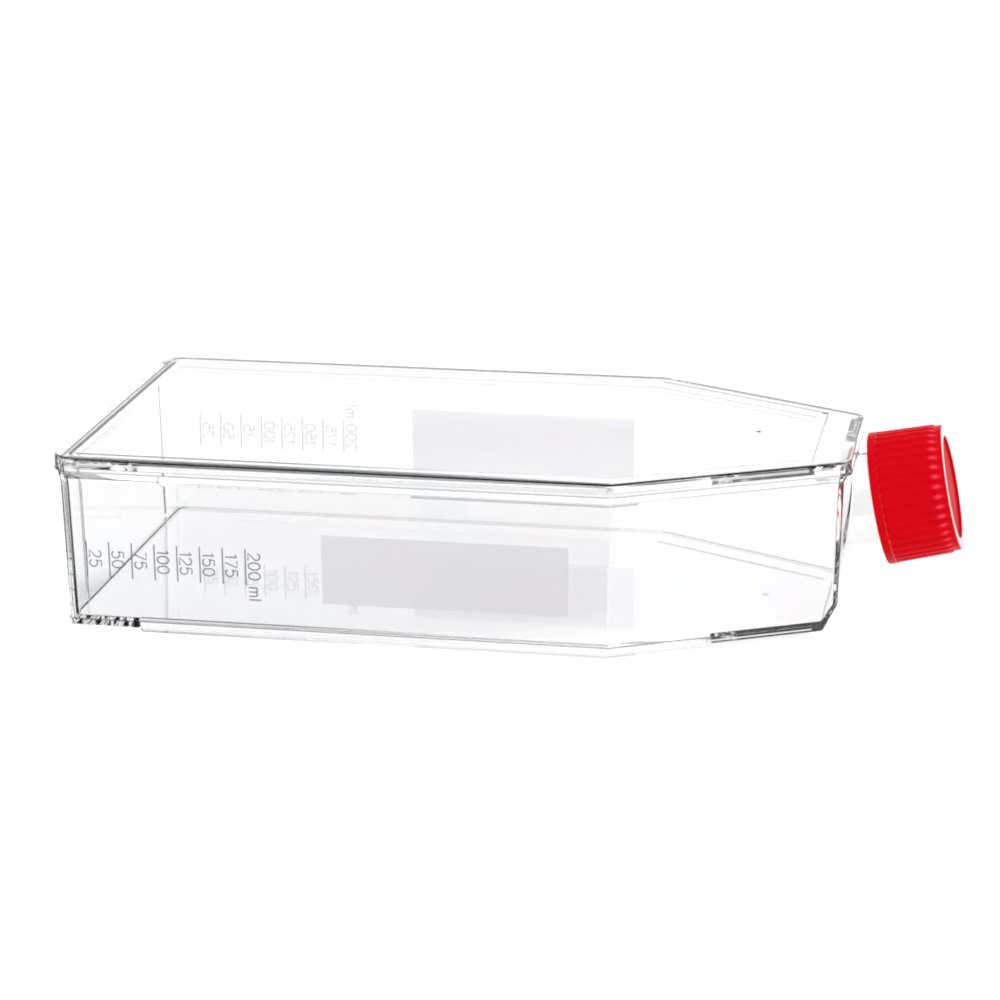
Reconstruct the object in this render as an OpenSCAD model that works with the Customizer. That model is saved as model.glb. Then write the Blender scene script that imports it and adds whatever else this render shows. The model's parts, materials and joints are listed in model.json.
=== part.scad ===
// Cell culture flask: a clear tub with a canted neck, a welded lid with a stacking rim, and a screw cap.
// Millimetres. +X runs from the back wall to the cap, +Z up. The origin is under the middle of the
// whole length, on the plane that the feet stand on.

/* [Body] */
// Length of the rim, from the back edge to the neck end
rim_length = 205.7; // [180:0.1:240]
// Width of the rim along the straight part
rim_width = 108.8; // [90:0.1:130]
// Length of the straight part, before the shoulders
straight_length = 147.6; // [110:0.1:160]
// Width of the rim at the neck end
neck_end_width = 46.6; // [42:0.1:60]
// Height from the feet to the top of the rim
body_height = 48.6; // [44:0.1:70]
// Corner radius of the rim at the back
back_corner_r = 7; // [5:0.5:12]
// Corner radius of the walls at the back, on the outside
wall_corner_r = 3.2; // [2.4:0.1:4.5]
// Corner radius of the rim at the shoulders and the neck end
shoulder_corner_r = 4; // [3.5:0.5:8]
// Thickness of the side walls
wall = 1.6; // [1.2:0.1:2.2]
// Thickness of the floor, the growth face
floor_t = 2.3; // [1.6:0.1:2.6]
// Draft of the side walls, in degrees
draft = 1.5; // [0.5:0.1:2]
// Height of the thicker band round the foot of the walls
base_band_h = 1.8; // [1:0.1:2.4]
// How far that band stands out at its lower edge
base_band_d = 0.4; // [0.2:0.05:0.6]
// Width of the thinner panel in the middle of the back wall
back_panel_w = 78; // [40:1:80]
// How much thinner that panel is than the wall
back_panel_d = 0.3; // [0.1:0.05:0.6]

/* [Flange and lid] */
// How far the flange stands out beyond the walls
flange_reach = 2.1; // [1.5:0.1:3]
// Thickness of the flange at its edge
flange_t = 2.1; // [1.5:0.1:3]
// Height of the slope under the flange
flange_slope = 2.3; // [1:0.1:5]
// Width of the flat ledge between that slope and the flange's edge
flange_ledge = 0.7; // [0.2:0.1:1.2]
// Thickness of the lid, which is also the depth of the stacking recess
lid_t = 1.9; // [1.5:0.1:2.5]
// Width of the raised rim round the recess
rim_land = 5.6; // [5.4:0.1:9]
// Length of the raised land between the recess and the neck end
neck_end_land = 11.8; // [8:0.1:20]
// Gap between the lid's lowered middle and the walls
lid_gap = 0.3; // [0.1:0.05:0.5]

/* [Feet] */
// Height of the two feet below the floor
foot_h = 2.2; // [2:0.1:3]
// Width of each foot
foot_w = 1.6; // [1:0.1:3]
// Distance of the feet from the back edge of the rim
foot_start = 22; // [10:1:60]
// Where the feet end, from the back edge of the rim
foot_end = 195.5; // [150:0.5:198]

/* [Neck] */
// Upward tilt of the neck, in degrees
neck_tilt = 12.2; // [0:0.1:20]
// Height of the neck's axis where it leaves the end wall
neck_z = 30.3; // [26:0.1:32]
// Outside diameter of the neck, at the root of its thread
neck_d = 27.4; // [24:0.1:30]
// Bore of the neck
neck_bore = 24.4; // [18:0.1:24.8]
// Length of neck in view between the end wall and the cap, along the axis
neck_gap = 8.1; // [7:0.1:12]

/* [Cap] */
// Diameter at the open end
cap_d = 35.3; // [34:0.1:40]
// Diameter over the ribs at the closed end
cap_end_d = 34.1; // [33:0.1:38]
// Length of the cap
cap_length = 19.5; // [16:0.1:26]
// Number of grip ribs
rib_count = 40; // [24:1:60]
// Height of the grip ribs
rib_h = 0.4; // [0.2:0.05:0.6]
// Length of the plain band at the open end
skirt_band = 2.2; // [1:0.1:4]
// Length of the plain band at the closed end
end_band = 2; // [1:0.1:4]
// Diameter of the recess in the closed end
cap_recess_d = 27.2; // [20:0.1:29]
// Depth of that recess
cap_recess = 0.8; // [0.3:0.1:1]
// Thickness of the closed end at its edge
cap_end_t = 2.2; // [1.8:0.1:3]

/* [Hidden] */
$fn = 96;
skin = 0.02;            // thickness of the slices that the drafted shells are hulled from
arc_steps = 6;          // chords in each rounded corner of an outline
shoulder = atan((rim_width - neck_end_width) / 2 / (rim_length - straight_length));
base_z = foot_h;                                // underside of the tub
seam_z = body_height - lid_t;                   // where the lid's rim lies on the flange
flange_z = seam_z - flange_t;                   // lower edge of the flange's outer face
wall_top_z = flange_z - flange_slope;           // where the slope meets the wall
base_edge = 0.4;                                // bevel round the underside
floor_edge = 0.4;                               // bevel round the floor inside
floor_corner_r = 3.6;                           // corner radius of the floor inside, at the back
inner_corner_r = wall_corner_r - wall / 2;      // corner radius of the walls at the back, on the inside
toe_length = 3.3;                               // bevel under the neck end: its length ...
toe_height = 6.4;                               // ... and its height
toe_wall = 0.9;                                 // thickness there along X, on top of that length
toe_rise = 0.4;                                 // the bevel inside starts this much higher
foot_inset = rim_land + 0.3;                    // so that the feet drop into another flask's recess
end_wall_x = rim_length - flange_reach;         // outer face of the neck-end wall, at the top
neck_wall_start = -6;                           // the neck starts inside the end wall
plug_ring_h = 3;                                // sealing ring that the cap puts into the bore
plug_ring_t = 1.3;
plug_gap = 0.3;                                 // between that ring and the bore
cap_bore_r = 15.4;                              // room for the thread between neck and skirt
lip_gap = 0.2;                                  // gap between the neck's lip and the cap's closed end
cap_edge = 0.5;                                 // bevel round the closed end
neck_length = neck_gap + cap_length - cap_end_t - lip_gap;
rib_drop = 0.1;                                 // the ribs' crests lie this far below the plain band
valley_cut = 0.3;                               // the cuts between the ribs run this far into the skirt
crest_share = 0.4;                              // share of a rib's pitch that its crest takes
past = 1;                                       // how far a cutting shape runs past what it cuts
cap_taper = ((cap_d - cap_end_d) / 2 - rib_drop) / cap_length;
// How far a ring of the cap, of radius r at z along the neck's axis, reaches beyond the end wall
function reach(r, z) = z * cos(neck_tilt) + r * sin(neck_tilt);
overall_length = end_wall_x + reach(cap_end_d / 2 - rib_h - cap_edge, neck_gap + cap_length);

// Inset of the wall's outer face from the rim's edge, at a height
function wall_inset(z) = flange_reach + (wall_top_z - z) * tan(draft);

// Half width of the shoulders at a length, inset from the rim's edge
function shoulder_y(x, inset) =
    rim_width / 2 - (x - straight_length) * tan(shoulder) - inset / cos(shoulder);

function arc(centre, r, from, to) =
    [for (k = [0:arc_steps]) let (a = from + (to - from) * k / arc_steps) centre + r * [cos(a), sin(a)]];

// Where the outer face of the bevel under the neck end lies, at a height
function toe_x(z) =
    rim_length - wall_inset(base_z) - toe_length + (z - base_z) * toe_length / toe_height;

// Outline of the flask seen from above, inset from the rim's edge and ending at x_end, corners rounded.
// The back corners follow the rim's, or have a radius of their own
function outline(inset, x_end, back_r = undef) =
    let (rb = is_undef(back_r) ? max(back_corner_r - inset, 1) : back_r,
         rs = max(shoulder_corner_r - inset, 0.8),
         back = [inset + rb, rim_width / 2 - inset - rb],
         mid = [straight_length - (inset + rs) * tan(shoulder / 2), rim_width / 2 - inset - rs],
         end = [x_end - rs, shoulder_y(x_end - rs, inset + rs)])
    concat(arc([back.x, -back.y], rb, 180, 270),
           arc([mid.x, -mid.y], rs, 270, 270 + shoulder),
           arc([end.x, -end.y], rs, 270 + shoulder, 360),
           arc(end, rs, 0, 90 - shoulder),
           arc(mid, rs, 90 - shoulder, 90),
           arc(back, rb, 90, 180));

// One thin level of a drafted shell; its lower face is at z
module slice(z, inset, x_end, back_r = undef)
    translate([0, 0, z]) linear_extrude(skin) polygon(outline(inset, x_end, back_r));

// Everything is drawn from the back edge of the rim, then moved to the shared origin
module in_frame() translate([-overall_length / 2, 0, 0]) children();

// Puts children on the neck's axis, with z = 0 a distance from the end wall
module on_neck(distance)
    translate([end_wall_x, 0, neck_z])
        rotate([0, 90 - neck_tilt, 0])
            translate([0, 0, distance]) children();

// The tub's outside below the flange. The hull closes the bevel under the neck end
module tub_outside() {
    toe_z = base_z + toe_height;
    hull() {
        slice(base_z, wall_inset(base_z), toe_x(base_z), wall_corner_r);
        slice(toe_z, wall_inset(toe_z), rim_length - wall_inset(toe_z), wall_corner_r);
        slice(seam_z - skin, wall_inset(seam_z), rim_length - wall_inset(seam_z), wall_corner_r);
    }
}

// The band round the foot of the walls, upright outside, so it stands out less as the walls widen
module base_band() {
    band_inset = wall_inset(base_z) - base_band_d;
    band_top = base_z + base_band_h;
    hull() {
        slice(base_z, band_inset + base_edge, toe_x(base_z), wall_corner_r - base_edge);
        slice(base_z + base_edge, band_inset, toe_x(base_z + base_edge), wall_corner_r);
        slice(band_top - skin, band_inset, toe_x(band_top), wall_corner_r);
    }
}

// The thinner panel of the back wall, cut from the inside at the wall's draft, above the floor's bevel
module back_panel() {
    panel_z = base_z + floor_t + floor_edge;
    translate([wall_inset(panel_z) + wall - back_panel_d, -back_panel_w / 2, panel_z])
        rotate([0, -draft, 0])
            cube([back_panel_d + past, back_panel_w, seam_z - panel_z + past]);
}

// The tub's inside, one wall thickness in, open at the top
module tub_inside() {
    floor_z = base_z + floor_t;
    toe_z = base_z + toe_height + toe_rise;
    floor_end = toe_x(base_z) - toe_wall;
    side = wall_inset(floor_z + floor_edge) + wall;
    hull() {
        slice(floor_z, side + floor_edge, floor_end - floor_edge / 2, floor_corner_r);
        slice(floor_z + floor_edge, side, floor_end + floor_edge / 2, inner_corner_r);
        slice(toe_z, wall_inset(toe_z) + wall, rim_length - wall_inset(toe_z) - wall, inner_corner_r);
        slice(seam_z, wall_inset(seam_z) + wall, rim_length - wall_inset(seam_z) - wall, inner_corner_r);
    }
}

// Outward flange that carries the lid, with a ledge and a slope down to the wall under it
module flange() {
    translate([0, 0, flange_z]) linear_extrude(flange_t) polygon(outline(0, rim_length));
    hull() {
        slice(wall_top_z, flange_reach, rim_length - flange_reach, wall_corner_r);
        slice(flange_z, flange_ledge, rim_length - flange_ledge);
    }
}

// Two long feet that follow the sides and shoulders, and locate in the recess of a flask below
module feet() {
    past_end = rim_length + 20;
    linear_extrude(base_z + floor_t / 2) intersection() {
        difference() {
            polygon(outline(foot_inset, past_end));
            polygon(outline(foot_inset + foot_w, past_end + foot_w));
        }
        translate([foot_start, -rim_width / 2]) square([foot_end - foot_start, rim_width]);
    }
}

module flask_body() color([0.86, 0.91, 0.94, 0.45]) in_frame() {
    difference() {
        union() {
            tub_outside();
            base_band();
            flange();
            feet();
            on_neck(neck_wall_start) cylinder(d = neck_d, h = neck_length - neck_wall_start);
        }
        tub_inside();
        back_panel();
        on_neck(2 * neck_wall_start) cylinder(d = neck_bore, h = neck_length - 2 * neck_wall_start + past);
    }
}

// The lid: its edge lies on the flange, its middle is set down inside the walls by one thickness
module top_plate() color([0.90, 0.94, 0.97, 0.45]) in_frame() {
    drop_inset = wall_inset(seam_z) + wall + lid_gap;
    recess_end = rim_length - neck_end_land;
    difference() {
        union() {
            translate([0, 0, seam_z]) linear_extrude(lid_t) polygon(outline(0, rim_length));
            translate([0, 0, seam_z - lid_t]) linear_extrude(lid_t)
                polygon(outline(drop_inset, recess_end + rim_land - drop_inset));
        }
        translate([0, 0, seam_z]) linear_extrude(lid_t + past) polygon(outline(rim_land, recess_end));
    }
}

// Radius of the rib crests at z along the cap; the plain band at the open end stands rib_drop proud of them
function crest_r(z) = cap_d / 2 - rib_drop - cap_taper * z;

// Grip ribs as one fluted bar, with valleys deeper than the cap's skirt, to be cut to the cap's taper
module fluted_bar(length) {
    pitch = 360 / rib_count;
    valley_r = crest_r(cap_length) - rib_h - valley_cut;
    one_rib = [[-0.5, valley_r], [-crest_share / 2, cap_d / 2], [crest_share / 2, cap_d / 2]];
    linear_extrude(length)
        polygon([for (i = [0:rib_count - 1], p = one_rib)
            p[1] * [cos((i + p[0]) * pitch), sin((i + p[0]) * pitch)]]);
}

// Outside of the cap: a tapered skirt, a plain band at the open end, and ribs with bevelled ends
module cap_outside() {
    end_r = crest_r(cap_length) - rib_h;
    band_r = cap_d / 2 - cap_taper * skirt_band;
    band_bevel = 3 * rib_h;
    rib_bevel = 2 * rib_h;
    rib_end = cap_length - end_band + rib_h;
    rib_end_r = crest_r(rib_end - rib_bevel);
    rotate_extrude() polygon([[0, 0], [crest_r(0) - rib_h, 0],
        [end_r + cap_taper * cap_edge, cap_length - cap_edge],
        [end_r - cap_edge, cap_length], [0, cap_length]]);
    rotate_extrude() polygon([[0, 0], [cap_d / 2, 0], [band_r, skirt_band],
        [band_r - band_bevel, skirt_band + band_bevel], [0, skirt_band + band_bevel]]);
    intersection() {
        fluted_bar(rib_end);
        rotate_extrude() polygon([[0, 0], [crest_r(0), 0], [rib_end_r, rib_end - rib_bevel],
            [rib_end_r - rib_bevel, rib_end], [0, rib_end]]);
    }
}

module screw_cap() color([0.84, 0.0, 0.10]) in_frame() on_neck(neck_gap) {
    plug_r = neck_bore / 2 - plug_gap;
    inside_h = cap_length - cap_end_t;
    difference() {
        cap_outside();
        // room for the neck and its thread, with the plug ring left standing
        difference() {
            translate([0, 0, -past]) cylinder(r = cap_bore_r, h = inside_h + past);
            translate([0, 0, inside_h - plug_ring_h]) difference() {
                cylinder(r = plug_r, h = plug_ring_h + past);
                translate([0, 0, -past]) cylinder(r = plug_r - plug_ring_t, h = plug_ring_h + 3 * past);
            }
        }
        translate([0, 0, cap_length - cap_recess]) cylinder(d = cap_recess_d, h = cap_recess + past);
    }
}

flask_body();
top_plate();
screw_cap();
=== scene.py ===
# %% [markdown]
# # A cell culture flask
#
# The flask is three plastic mouldings: a clear polystyrene tub with a canted neck, a clear lid welded onto
# the tub's flange, and a red screw cap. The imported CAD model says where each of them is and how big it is.
# This notebook builds the same pieces again with the fillets, threads and print that make clear plastic
# look like clear plastic, and lights them so that their edges draw the shape.

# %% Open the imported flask
import json
import math

import bmesh
import bpy
from mathutils import Matrix, Vector, noise


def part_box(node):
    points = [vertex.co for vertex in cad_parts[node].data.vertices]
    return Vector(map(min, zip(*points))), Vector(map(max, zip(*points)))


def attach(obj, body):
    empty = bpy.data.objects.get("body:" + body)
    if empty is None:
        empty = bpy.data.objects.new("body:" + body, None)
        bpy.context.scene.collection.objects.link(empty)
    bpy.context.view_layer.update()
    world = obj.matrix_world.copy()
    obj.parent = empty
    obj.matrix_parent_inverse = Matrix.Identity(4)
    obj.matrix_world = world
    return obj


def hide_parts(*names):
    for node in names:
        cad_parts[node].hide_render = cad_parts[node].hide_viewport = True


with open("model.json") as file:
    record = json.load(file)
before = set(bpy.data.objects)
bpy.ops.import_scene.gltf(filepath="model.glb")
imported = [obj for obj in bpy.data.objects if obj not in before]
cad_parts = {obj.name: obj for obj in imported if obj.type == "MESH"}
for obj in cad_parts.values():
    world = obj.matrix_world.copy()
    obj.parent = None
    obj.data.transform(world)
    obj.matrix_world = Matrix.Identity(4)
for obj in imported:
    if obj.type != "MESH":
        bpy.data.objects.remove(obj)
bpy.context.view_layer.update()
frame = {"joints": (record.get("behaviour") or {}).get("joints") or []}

# %% [markdown]
# ## Sizes
#
# Blender works in metres, and a moulding is easier to think of in millimetres, so every size below is in
# millimetres and is scaled once, when a mesh is made. Lengths run from the back edge of the rim. What the
# frame knows, such as the rim's length and the height of the weld, is read from it and not typed again.

# %% Sizes of the flask
MM = 0.001
lid_low, lid_high = [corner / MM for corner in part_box("top_plate")]
cap_low, cap_high = [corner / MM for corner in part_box("screw_cap")]
back_x = lid_low.x
rim_length = lid_high.x - lid_low.x
rim_width = lid_high.y - lid_low.y
rim_top = lid_high.z
lid_t = (rim_top - lid_low.z) / 2  # the lid is a plate set down by its own thickness
seam_z = rim_top - lid_t

straight_length = 147.6
neck_end_width = 46.6
back_corner_r = 7
wall_corner_r = 2.4  # the walls turn tighter than the rim above them
shoulder_corner_r = 4
wall = 1.6
inner_corner_r = wall_corner_r - wall / 2
floor_t = 2.3
foot_h = 2.2
draft = math.radians(1.5)
shoulder = math.atan((rim_width - neck_end_width) / 2 / (rim_length - straight_length))
print(f"rim {rim_length:.1f} x {rim_width:.1f} mm, weld at {seam_z:.1f} mm")
print(f"shoulders {math.degrees(shoulder):.1f} degrees")
print(f"cap from {cap_low.x - back_x:.1f} to {cap_high.x - back_x:.1f} mm")

# %% [markdown]
# ## One outline for everything
#
# The tub, the flange, the lid and the recess in it all share one outline: a rectangle whose neck end
# tapers. A wall follows it at some inset, so one function that insets the outline serves every level. The
# corners are arcs, so that a ring of the outline stays round however far it is inset, and every ring has
# the same number of points, so that two rings can be joined by quads. The straight sides get some points
# too, because a face that is very long and thin shades badly.

# %% Outline of the flask, seen from above
CORNER_STEPS = 10
SIDE_CUTS = (20, 8, 5, 8, 20, 12)  # from the near side round to the back


def arc(centre, radius, start, end, steps=CORNER_STEPS):
    """Points of an arc, its two ends included; angles in radians."""
    angles = [start + (end - start) * i / steps for i in range(steps + 1)]
    return [(centre[0] + radius * math.cos(a), centre[1] + radius * math.sin(a)) for a in angles]


def outline(inset, end_x=None, back_r=None):
    """Points of the outline at an inset from the rim's edge, counter-clockwise, up to end_x at the neck."""
    end_x = rim_length - inset if end_x is None else end_x
    back_r = max(back_corner_r - inset, 1) if back_r is None else back_r
    side_r = max(shoulder_corner_r - inset, 0.8)
    back = (inset + back_r, rim_width / 2 - inset - back_r)
    middle = (straight_length - (inset + side_r) * math.tan(shoulder / 2), rim_width / 2 - inset - side_r)
    end_y = rim_width / 2 - (end_x - side_r - straight_length) * math.tan(shoulder)
    end = (end_x - side_r, end_y - (inset + side_r) / math.cos(shoulder))
    quarter = math.pi / 2
    corners = [
        arc((back[0], -back[1]), back_r, 2 * quarter, 3 * quarter),
        arc((middle[0], -middle[1]), side_r, -quarter, -quarter + shoulder),
        arc((end[0], -end[1]), side_r, -quarter + shoulder, 0),
        arc(end, side_r, 0, quarter - shoulder),
        arc(middle, side_r, quarter - shoulder, quarter),
        arc(back, back_r, quarter, 2 * quarter),
    ]
    points = []
    for i, corner in enumerate(corners):
        after = corners[(i + 1) % len(corners)][0]
        points += corner
        for k in range(1, SIDE_CUTS[i] + 1):
            share = k / (SIDE_CUTS[i] + 1)
            points.append(tuple(a + (b - a) * share for a, b in zip(corner[-1], after)))
    return points


RING = len(outline(0))
print("points in a ring:", RING)

# %% [markdown]
# ## From rings to solids
#
# A moulding is a stack of rings: each ring is the outline at one height and one inset. Joining neighbouring
# rings with quads and closing both ends gives a closed skin, which glass needs, because light has to enter
# and leave a real thickness. Rounded edges are a few rings along an arc.

# %% Helpers that make solids
def make_object(name, points, faces):
    """A mesh object from points in metres, its faces turned outwards."""
    mesh = bpy.data.meshes.new(name)
    mesh.from_pydata([tuple(p) for p in points], [], faces)
    skin = bmesh.new()
    skin.from_mesh(mesh)
    bmesh.ops.recalc_face_normals(skin, faces=skin.faces)
    skin.to_mesh(mesh)
    skin.free()
    made = bpy.data.objects.new(name, mesh)
    bpy.context.scene.collection.objects.link(made)
    return made


def join_rings(count, size, closed=False):
    """Quads between rings of so many points each, and a face over each end unless the rings are closed."""
    quads = [
        tuple(ring % count * size + k % size for ring, k in ((r, k), (r, k + 1), (r + 1, k + 1), (r + 1, k)))
        for r in range(count if closed else count - 1)
        for k in range(size)
    ]
    return quads if closed else quads + [tuple(range(size)), tuple(range((count - 1) * size, count * size))]


def stack(name, levels):
    """A solid from levels of (height, inset), and where they matter the outline's end_x and back_r."""
    points = [Vector((back_x + x, y, level[0])) * MM for level in levels for x, y in outline(*level[1:])]
    return make_object(name, points, join_rings(len(levels), RING))


def rounded(start, corner, end, steps=4):
    """Levels along a smooth bend from start to end that heads for corner, start and end included."""
    ts = [i / steps for i in range(steps + 1)]
    return [
        tuple((1 - t) ** 2 * a + 2 * t * (1 - t) * b + t * t * c for a, b, c in zip(start, corner, end))
        for t in ts
    ]


def spaced(start, end, step):
    """Numbers from start to end, both included, about a step apart."""
    count = max(round((end - start) / step), 1)
    return [start + (end - start) * i / count for i in range(count + 1)]


def combine(target, tool, operation):
    """Adds the tool to the target or cuts it away, and removes the tool."""
    change = target.modifiers.new(operation.lower(), "BOOLEAN")
    change.operation, change.solver, change.object = operation, "EXACT", tool
    made = bpy.data.meshes.new_from_object(target.evaluated_get(bpy.context.evaluated_depsgraph_get()))
    target.modifiers.clear()
    target.data = made
    bpy.data.objects.remove(tool)


# %% [markdown]
# ## The tub
#
# The tub is an injection moulding: a floor, drafted side walls and an outward flange for the lid. It is
# built as a toolmaker would, as an outside block with an inside block cut out of it, because both are
# simple stacks of rings. Under the neck end the floor turns up in a long bevel, which lets the last drop of
# medium run to the neck. Two details are small, but every edge of clear plastic draws a line: a band stands
# out round the foot of the walls, and the tool's parting line leaves a fine ridge round the flange.

# %% Sizes of the tub
flange_reach = 2.1
flange_t = 2.1
flange_slope = 2.3
flange_ledge = 0.7
witness_r = 0.2  # the ridge of the parting line
seam_r = 0.02  # both mouldings are almost sharp where they are welded
band_h = 1.8
band_d = 0.4
band_foot_r = 0.4
band_lip_r = 0.12
bend = 0.8  # how far from a change of slope the wall starts to curve
hair = 0.02  # the rise of a ledge that looks flat
past = 1.0  # how far a cut reaches beyond what it cuts
floor_edge = 0.4
floor_corner_r = 3.6
toe_length = 3.3
toe_height = 6.4
toe_wall = 0.9
toe_rise = 0.4
edge_r = 0.35
RIDGE_STEPS = 6

flange_z = seam_z - flange_t
wall_top_z = flange_z - flange_slope


def wall_inset(z):
    """Inset of the wall's outer face from the rim's edge at a height."""
    return flange_reach + (wall_top_z - z) * math.tan(draft)


def wall_level(z):
    """The walls' outer face."""
    return (z, wall_inset(z), rim_length - wall_inset(z), wall_corner_r)


def inner_level(z):
    """The walls' inner face."""
    return (z, wall_inset(z) + wall, rim_length - wall_inset(z) - wall, inner_corner_r)


def rim_level(z, inset):
    """The flange and the lid's rim, which follow the outline itself."""
    return (z, inset, rim_length - inset, back_corner_r - inset)


def toe_x(z):
    """Where the bevel under the neck end lies at a height."""
    return rim_length - wall_inset(foot_h) - toe_length + (z - foot_h) * toe_length / toe_height


# %% [markdown]
# ### Outside block
#
# From below, the levels are the band, the walls and the flange, each from a function of its own.

# %% Outside of the tub
def band_levels():
    """The band round the foot of the walls: rounded below, almost sharp above."""
    r = wall_corner_r
    inset = wall_inset(foot_h) - band_d
    top = foot_h + band_h
    levels = rounded(
        (foot_h, inset + band_foot_r, toe_x(foot_h) - band_foot_r, r - band_foot_r),
        (foot_h, inset, toe_x(foot_h), r),
        (foot_h + band_foot_r, inset, toe_x(foot_h + band_foot_r), r),
        6,
    )
    levels += rounded(
        (top - band_lip_r, inset, toe_x(top - band_lip_r), r),
        (top, inset, toe_x(top), r),
        (top, inset + band_lip_r, toe_x(top), r),
    )
    return levels + [(top + hair, wall_inset(top), toe_x(top), r)]


def wall_levels():
    """The walls, from the top of the bevel to the slope under the flange."""
    toe_z = foot_h + toe_height
    out = bend * (flange_reach - flange_ledge) / flange_slope
    levels = rounded(
        (toe_z - bend, wall_inset(toe_z - bend), toe_x(toe_z - bend), wall_corner_r),
        wall_level(toe_z),
        wall_level(toe_z + bend),
    )
    return levels + rounded(
        wall_level(wall_top_z - bend),
        wall_level(wall_top_z),
        (wall_top_z + bend, flange_reach - out, rim_length - flange_reach + out, wall_corner_r + 1),
    )


def flange_levels():
    """The ledge, the half-round ridge at the flange's lower edge, and its upper edge at the weld."""
    levels = [rim_level(flange_z, flange_ledge)]
    for step in range(RIDGE_STEPS + 1):
        angle = math.pi * step / RIDGE_STEPS
        height = flange_z + witness_r * (1 - math.cos(angle))
        levels.append(rim_level(height, witness_r * (1 - math.sin(angle))))
    return levels + rounded(
        rim_level(seam_z - seam_r, witness_r),
        rim_level(seam_z, witness_r),
        rim_level(seam_z, witness_r + seam_r),
        3,
    )


tub = stack("flask_tub", band_levels() + wall_levels() + flange_levels())
print("tub block:", len(tub.data.polygons), "faces")

# %% [markdown]
# ### Inside block
#
# The inside block is what the liquid will fill. It reaches past the flange, so that the cut is open at the
# top, and it is cut out later, once the neck has been joined on.

# %% Inside of the tub
def tub_inside():
    floor_z = foot_h + floor_t
    fillet_z = floor_z + floor_edge
    floor_end = toe_x(foot_h) - toe_wall
    side = wall_inset(fillet_z) + wall
    levels = rounded(
        (floor_z, side + floor_edge, floor_end - floor_edge / 2, floor_corner_r),
        (floor_z, side, floor_end, inner_corner_r),
        (fillet_z, side, floor_end + floor_edge / 2, inner_corner_r),
        6,
    )
    levels += [inner_level(foot_h + toe_height + toe_rise), inner_level(seam_z + past)]
    return stack("inside", levels)


inside = tub_inside()
print("inside block:", len(inside.data.polygons), "faces")

# %% [markdown]
# ## The feet
#
# Two low rails under the floor follow the sides and the shoulders. They keep the growth face off the
# bench, and drop into the recess of a flask below. Each is a strip of the same outline, drawn past the neck
# end so that the rail can stop short of it.

# %% Feet
foot_w = 1.6
foot_inset = 5.9
foot_start = 22
foot_end = 195.5
past_neck = 20


def foot(side):
    """A rail on one side: 1 for the far side, -1 for the near one."""
    root = foot_h + floor_t / 2
    section = [(0, root), (0, edge_r), (edge_r, 0), (foot_w - edge_r, 0), (foot_w, edge_r), (foot_w, root)]
    lines = []
    for out, z in section:
        past_end = outline(foot_inset + out, rim_length + past_neck)
        rail = sorted(p for p in past_end if p[1] > 0 and foot_start < p[0] < foot_end)
        y_end = rim_width / 2 - (foot_end - straight_length) * math.tan(shoulder)
        y_end -= (foot_inset + out) / math.cos(shoulder)
        rail = [(foot_start, rail[0][1])] + rail + [(foot_end, y_end)]
        lines.append([(x, side * y, z) for x, y in rail])
    size = len(section)
    points = [Vector((back_x + x, y, z)) * MM for station in zip(*lines) for x, y, z in station]
    return make_object("foot", points, join_rings(len(points) // size, size))


for side in (-1, 1):
    combine(tub, foot(side), "UNION")
print("tub with feet:", len(tub.data.polygons), "faces")

# %% [markdown]
# ## The neck and its thread
#
# The neck is canted upwards, so that a pipette reaches the whole floor. Turned shapes are drawn as rings
# round an axis, here the axis that the cap moves along, which the frame gives. The thread is a ridge that
# climbs one pitch in each turn. It needs no modelling of its own: it is a height added to the radius, found
# from how far each point lies from the nearest turn.

# %% The neck's axis, and solids turned on it
neck_axis = Vector(frame["joints"][0]["axis"]).normalized()
across = Vector((0, -1, 0))
upward = neck_axis.cross(across) * -1
neck_z = 30.3
neck_foot = Vector((back_x + rim_length - flange_reach, 0, neck_z))
neck_gap = 8.1
cap_length = 19.5
thread_pitch = 3.0
NECK_SEGMENTS = 120


def on_neck(distance, radius, angle):
    """A point round the neck's axis, in metres; distance is from the end wall."""
    spoke = upward * math.cos(angle) + across * math.sin(angle)
    return (neck_foot + neck_axis * distance + spoke * radius) * MM


def turned(name, profile, segments, extra=None):
    """A turned solid from (distance, radius); extra(distance, angle, i) adds to the radius of ring i."""
    points = []
    for i, (distance, radius) in enumerate(profile):
        for k in range(segments):
            angle = 2 * math.pi * k / segments
            added = extra(distance, angle, i) if extra else 0.0
            points.append(on_neck(distance, radius + added, angle))
    return make_object(name, points, join_rings(len(profile), segments))


def smooth_step(value):
    value = min(max(value, 0.0), 1.0)
    return value * value * (3 - 2 * value)


def thread_ridge(distance, angle, start, turns, height):
    """Height of a right-hand thread's ridge over its root; it fades over a part of a turn at its ends."""
    crest, flank, run_in = 0.35, 0.6, 0.12
    along = (distance - start) / thread_pitch - angle / (2 * math.pi)
    turn = min(max(round(along), 0), math.ceil(turns) - 1)
    place = turn + angle / (2 * math.pi)
    fade = smooth_step(place / run_in) * smooth_step((turns - place) / run_in)
    off = abs(along - turn) * thread_pitch
    return height * fade * smooth_step((crest + flank - off) / flank)


# %% [markdown]
# ### Neck and bore
#
# The neck starts inside the tub, and its bore starts further in. Joining the neck first and cutting the
# inside and the bore afterwards leaves one clean wall, with no stub of the tube standing in the chamber.
# The rings are close together only where the thread is.

# %% The neck joins the tub
neck_r = 13.7
bore_r = 12.2
neck_root, bore_root = -6, -12
thread_from = 10
lip_gap = 0.2
cap_end_t = 2.2
neck_length = neck_gap + cap_length - cap_end_t - lip_gap
thread_start, thread_turns, thread_h = 14.5, 1.6, 1.3
ring_step = 0.2


def neck_thread(distance, angle, i):
    return thread_ridge(distance, angle, thread_start, thread_turns, thread_h)


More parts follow.
